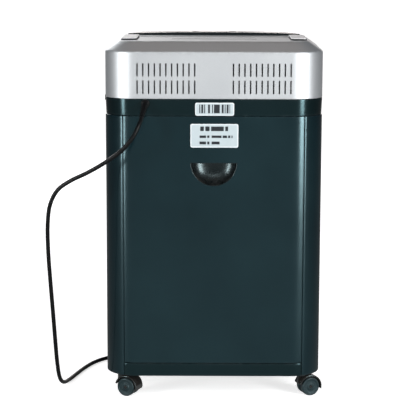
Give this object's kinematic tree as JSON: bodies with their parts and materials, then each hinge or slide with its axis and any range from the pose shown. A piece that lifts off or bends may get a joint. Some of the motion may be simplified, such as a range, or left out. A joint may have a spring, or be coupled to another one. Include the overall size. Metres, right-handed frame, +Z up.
{
  "type": "paper shredder",
  "caption": "Free-standing office paper shredder with a vented silver head, a black cabinet with a pull-out bin, twin-wheel castors and a coiled mains lead.",
  "frame": {"origin": "on the floor under the middle of the cabinet", "axes": "+Z up, -Y towards the front where the bin pulls out, +X to the right seen from the front"},
  "size_m": [0.4368, 0.3997, 0.5724],
  "materials": {
    "black_plastic": "fine moulded texture, near-black",
    "gloss_black": "polished black",
    "silver_paint": "satin silver paint on moulded plastic",
    "dark_plastic": "dark grey moulded plastic",
    "pale_plastic": "pale grey moulded plastic",
    "lens": "clear green lens",
    "label_film": "printed film",
    "steel": "machined steel",
    "nylon": "natural nylon",
    "motor_can": "plated motor can",
    "circuit_board": "green laminate",
    "window_plastic": "smoked clear plastic",
    "wheel_plastic": "dark slate nylon",
    "cord_sheath": "black PVC sheath"
  },
  "bodies": {
    "housing": {"base_tray": "black_plastic", "side_panel_right": "black_plastic", "side_panel_left": "black_plastic", "rear_panel": "black_plastic", "rear_grip_cup": "gloss_black", "head_base": "black_plastic", "top_cover": "silver_paint", "control_fascia": "gloss_black", "side_cap_right": "silver_paint", "side_cap_left": "silver_paint", "paper_throat": "dark_plastic", "disc_throat": "dark_plastic", "indicator_lens": "lens", "switch_bezel": "pale_plastic", "serial_label": "label_film", "rating_label": "label_film", "stripper_comb_rear": "dark_plastic", "stripper_comb_front": "dark_plastic", "unit_plate_left": "steel", "unit_plate_right": "steel", "tie_bar_front": "steel", "tie_bar_rear": "steel", "cluster_axle": "steel", "motor_body": "motor_can", "control_board": "circuit_board", "bin_sensor": "dark_plastic", "strain_relief": "cord_sheath", "power_cord": "cord_sheath", "cord_coil": "cord_sheath", "cord_tail": "cord_sheath", "mains_plug": "cord_sheath"},
    "bin": {"bin_bucket": "dark_plastic", "bin_front": "black_plastic", "bin_window": "window_plastic", "bin_grip_cup": "gloss_black"},
    "rocker": {"power_rocker": "black_plastic"},
    "forward_button": {"forward_button": "dark_plastic"},
    "reverse_button": {"reverse_button": "dark_plastic"},
    "rear_cutter": {"cutter_rear": "steel", "timing_gear_rear": "steel", "final_gear": "nylon"},
    "front_cutter": {"cutter_front": "steel", "timing_gear_front": "steel"},
    "cluster": {"cluster_gear": "nylon"},
    "rotor": {"motor_shaft": "steel"},
    "castor_rear_right": {"castor_fork_rear_right": "gloss_black"},
    "wheel_a_rear_right": {"castor_wheel_a_rear_right": "wheel_plastic"},
    "wheel_b_rear_right": {"castor_wheel_b_rear_right": "wheel_plastic"},
    "castor_rear_left": {"castor_fork_rear_left": "gloss_black"},
    "wheel_a_rear_left": {"castor_wheel_a_rear_left": "wheel_plastic"},
    "wheel_b_rear_left": {"castor_wheel_b_rear_left": "wheel_plastic"},
    "castor_front_right": {"castor_fork_front_right": "gloss_black"},
    "wheel_a_front_right": {"castor_wheel_a_front_right": "wheel_plastic"},
    "wheel_b_front_right": {"castor_wheel_b_front_right": "wheel_plastic"},
    "castor_front_left": {"castor_fork_front_left": "gloss_black"},
    "wheel_a_front_left": {"castor_wheel_a_front_left": "wheel_plastic"},
    "wheel_b_front_left": {"castor_wheel_b_front_left": "wheel_plastic"}
  },
  "joints": [
    {"name": "bin_slide", "type": "slide", "parent": "housing", "child": "bin", "axis": [0, -1, 0], "range_m": [0, 0.22]},
    {"name": "rocker_tilt", "type": "hinge", "parent": "housing", "child": "rocker", "pos_m": [0.169, 0, 0.4712], "axis": [0, 0, 1], "range_deg": [0, 16]},
    {"name": "forward_press", "type": "slide", "parent": "housing", "child": "forward_button", "axis": [0, 0, -1], "range_m": [0, 0.0015], "stiffness_N_per_m": 400},
    {"name": "reverse_press", "type": "slide", "parent": "housing", "child": "reverse_button", "axis": [0, 0, -1], "range_m": [0, 0.0015], "stiffness_N_per_m": 400},
    {"name": "rear_cutter_spin", "type": "hinge", "parent": "housing", "child": "rear_cutter", "pos_m": [0.13, 0, 0.492], "axis": [1, 0, 0], "continuous": true},
    {"name": "front_cutter_spin", "type": "hinge", "parent": "housing", "child": "front_cutter", "pos_m": [0.13, -0.04, 0.492], "axis": [1, 0, 0], "continuous": true},
    {"name": "cluster_spin", "type": "hinge", "parent": "housing", "child": "cluster", "pos_m": [0.13, 0.04277, 0.48756], "axis": [1, 0, 0], "continuous": true},
    {"name": "rotor_spin", "type": "hinge", "parent": "housing", "child": "rotor", "pos_m": [0.13, 0.068, 0.506], "axis": [1, 0, 0], "continuous": true},
    {"name": "swivel_rear_right", "type": "hinge", "parent": "housing", "child": "castor_rear_right", "pos_m": [0.144, 0.0875, 0.04], "axis": [0, 0, 1], "continuous": true},
    {"name": "roll_a_rear_right", "type": "hinge", "parent": "castor_rear_right", "child": "wheel_a_rear_right", "pos_m": [0.135, 0.09151, 0.015], "axis": [-0.4067, -0.9135, 0], "continuous": true},
    {"name": "roll_b_rear_right", "type": "hinge", "parent": "castor_rear_right", "child": "wheel_b_rear_right", "pos_m": [0.135, 0.09151, 0.015], "axis": [-0.4067, -0.9135, 0], "continuous": true},
    {"name": "swivel_rear_left", "type": "hinge", "parent": "housing", "child": "castor_rear_left", "pos_m": [-0.144, 0.0875, 0.04], "axis": [0, 0, 1], "continuous": true},
    {"name": "roll_a_rear_left", "type": "hinge", "parent": "castor_rear_left", "child": "wheel_a_rear_left", "pos_m": [-0.15326, 0.08413, 0.015], "axis": [0.342, -0.9397, 0], "continuous": true},
    {"name": "roll_b_rear_left", "type": "hinge", "parent": "castor_rear_left", "child": "wheel_b_rear_left", "pos_m": [-0.15326, 0.08413, 0.015], "axis": [0.342, -0.9397, 0], "continuous": true},
    {"name": "swivel_front_right", "type": "hinge", "parent": "housing", "child": "castor_front_right", "pos_m": [0.144, -0.0875, 0.04], "axis": [0, 0, 1], "continuous": true},
    {"name": "roll_a_front_right", "type": "hinge", "parent": "castor_front_right", "child": "wheel_a_front_right", "pos_m": [0.13425, -0.08613, 0.015], "axis": [-0.1392, -0.9903, 0], "continuous": true},
    {"name": "roll_b_front_right", "type": "hinge", "parent": "castor_front_right", "child": "wheel_b_front_right", "pos_m": [0.13425, -0.08613, 0.015], "axis": [-0.1392, -0.9903, 0], "continuous": true},
    {"name": "swivel_front_left", "type": "hinge", "parent": "housing", "child": "castor_front_left", "pos_m": [-0.144, -0.0875, 0.04], "axis": [0, 0, 1], "continuous": true},
    {"name": "roll_a_front_left", "type": "hinge", "parent": "castor_front_left", "child": "wheel_a_front_left", "pos_m": [-0.13444, -0.08512, 0.015], "axis": [-0.2419, 0.9703, 0], "continuous": true},
    {"name": "roll_b_front_left", "type": "hinge", "parent": "castor_front_left", "child": "wheel_b_front_left", "pos_m": [-0.13444, -0.08512, 0.015], "axis": [-0.2419, 0.9703, 0], "continuous": true}
  ],
  "couplings": [
    {"joint": "front_cutter_spin", "follows": "rear_cutter_spin", "ratio": -1},
    {"joint": "cluster_spin", "follows": "rear_cutter_spin", "ratio": -2.9091},
    {"joint": "rotor_spin", "follows": "rear_cutter_spin", "ratio": 11.636}
  ]
}
